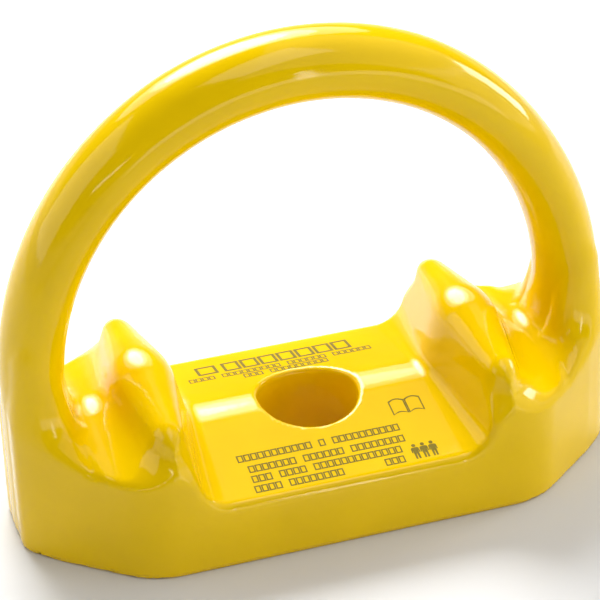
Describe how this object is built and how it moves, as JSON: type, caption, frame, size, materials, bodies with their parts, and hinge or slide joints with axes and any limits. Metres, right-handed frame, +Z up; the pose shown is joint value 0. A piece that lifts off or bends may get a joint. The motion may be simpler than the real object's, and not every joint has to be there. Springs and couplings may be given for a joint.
{
  "type": "roof anchor",
  "caption": "Forged roof anchor: an oval eye rising from a boat-shaped base with a gabled saddle, a through-hole for its bolt and horns beside it, in gloss yellow.",
  "frame": {"origin": "middle of the underside, on the bolt hole axis, at the level that the anchor stands on", "axes": "+X along the base from the left foot to the right foot, +Y to the back, +Z up through the crown of the eye"},
  "size_m": [0.1056, 0.0462, 0.0843],
  "materials": {
    "powder_coat": "thick gloss yellow powder coat on forged steel, faint orange peel",
    "etched_mark": "matt grey-brown laser marking in the coat"
  },
  "bodies": {
    "root": {"saddle": "powder_coat", "left_horn": "powder_coat", "right_horn": "powder_coat", "left_foot": "powder_coat", "right_foot": "powder_coat", "eye_left_side": "powder_coat", "eye_right_side": "powder_coat", "eye_crown": "powder_coat"}
  },
  "joints": []
}
